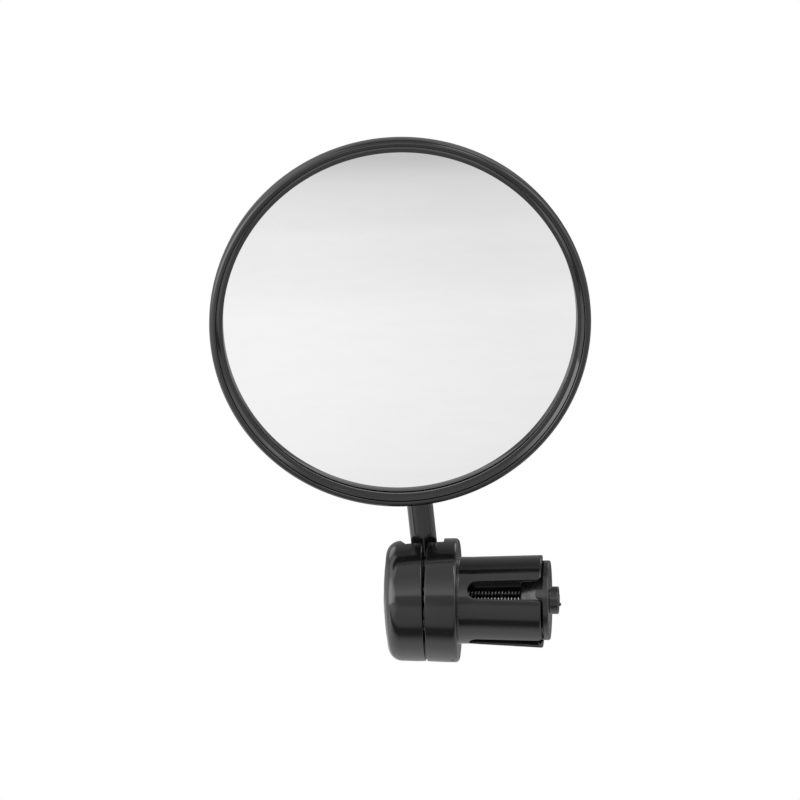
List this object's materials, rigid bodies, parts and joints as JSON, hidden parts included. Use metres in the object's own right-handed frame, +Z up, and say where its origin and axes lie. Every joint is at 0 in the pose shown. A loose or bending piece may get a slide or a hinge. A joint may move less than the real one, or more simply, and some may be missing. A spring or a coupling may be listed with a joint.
{
  "type": "bar-end bicycle mirror",
  "caption": "Round convex bicycle mirror on a short arm with a ball joint, held by a split clamp and a plug that a screw-drawn wedge expands inside the handlebar's end.",
  "frame": {"origin": "on the handlebar's axis, in the plane of the clamp's stop face that meets the end of the bar", "axes": "+X along the handlebar's axis, into the bar; -Y the side the mirror faces; +Z up"},
  "size_m": [0.0796, 0.0478, 0.1099],
  "materials": {
    "black_plastic_gloss": "glossy black injection-moulded plastic",
    "black_plastic_satin": "slightly duller black injection-moulded plastic",
    "mirror_glass": "silvered convex glass",
    "foam_pad": "closed-cell foam, grey",
    "zinc_steel": "bright zinc-plated steel"
  },
  "bodies": {
    "clamp_base": {"plug_base": "black_plastic_gloss"},
    "cap": {"clamp_cap": "black_plastic_gloss"},
    "screw": {"clamp_screw": "zinc_steel", "screw_washer": "zinc_steel"},
    "wedge": {"expander_wedge": "black_plastic_satin", "wedge_nut": "zinc_steel"},
    "ball": {"arm_ball": "black_plastic_gloss"},
    "arm": {"arm_stem": "black_plastic_gloss"},
    "mirror_head": {"mirror_housing": "black_plastic_gloss", "bezel_ring": "black_plastic_gloss", "mirror_lens": "mirror_glass", "lens_pad": "foam_pad"},
    "finger_1": {"plug_finger_1": "black_plastic_gloss"},
    "finger_2": {"plug_finger_2": "black_plastic_gloss"},
    "finger_3": {"plug_finger_3": "black_plastic_gloss"},
    "finger_4": {"plug_finger_4": "black_plastic_gloss"}
  },
  "joints": [
    {"name": "arm_swing", "type": "hinge", "parent": "clamp_base", "child": "ball", "pos_m": [-0.00695, 0.00168, 0.00669], "axis": [1, 0, 0], "range_deg": [-69, 9]},
    {"name": "arm_lean", "type": "hinge", "parent": "ball", "child": "arm", "pos_m": [-0.00695, 0.00168, 0.00669], "axis": [0, 0.9566, 0.2912], "range_deg": [-9, 14]},
    {"name": "mirror_spin", "type": "hinge", "parent": "arm", "child": "mirror_head", "pos_m": [-0.00695, 0.00168, 0.00669], "axis": [-0.088, -0.2901, 0.9529], "continuous": true},
    {"name": "cap_squeeze", "type": "hinge", "parent": "clamp_base", "child": "cap", "pos_m": [-0.00685, -0.0031, -0.01236], "axis": [0, 0.9699, -0.2436], "range_deg": [0, 0.5]},
    {"name": "screw_turn", "type": "hinge", "parent": "clamp_base", "child": "screw", "pos_m": [0, 0, 0], "axis": [1, 0, 0], "range_deg": [-1800, 0]},
    {"name": "wedge_slide", "type": "slide", "parent": "clamp_base", "child": "wedge", "axis": [1, 0, 0], "range_m": [0, 0.0035]},
    {"name": "finger_1_flex", "type": "hinge", "parent": "clamp_base", "child": "finger_1", "pos_m": [0.0024, -0.00416, 0.00695], "axis": [0, -0.8581, -0.5135], "range_deg": [-1.7, 0]},
    {"name": "finger_2_flex", "type": "hinge", "parent": "clamp_base", "child": "finger_2", "pos_m": [0.0024, -0.00695, -0.00416], "axis": [0, 0.5135, -0.8581], "range_deg": [-2.8, 0]},
    {"name": "finger_3_flex", "type": "hinge", "parent": "clamp_base", "child": "finger_3", "pos_m": [0.0024, 0.00416, -0.00695], "axis": [0, 0.8581, 0.5135], "range_deg": [-3.8, 0]},
    {"name": "finger_4_flex", "type": "hinge", "parent": "clamp_base", "child": "finger_4", "pos_m": [0.0024, 0.00695, 0.00416], "axis": [0, -0.5135, 0.8581], "range_deg": [-2.5, 0]}
  ],
  "couplings": [
    {"joint": "screw_turn", "follows": "wedge_slide", "rad_per_m": -8976},
    {"joint": "finger_1_flex", "follows": "wedge_slide", "rad_per_m": -8.4772},
    {"joint": "finger_2_flex", "follows": "wedge_slide", "rad_per_m": -13.963},
    {"joint": "finger_3_flex", "follows": "wedge_slide", "rad_per_m": -18.949},
    {"joint": "finger_4_flex", "follows": "wedge_slide", "rad_per_m": -12.467}
  ]
}
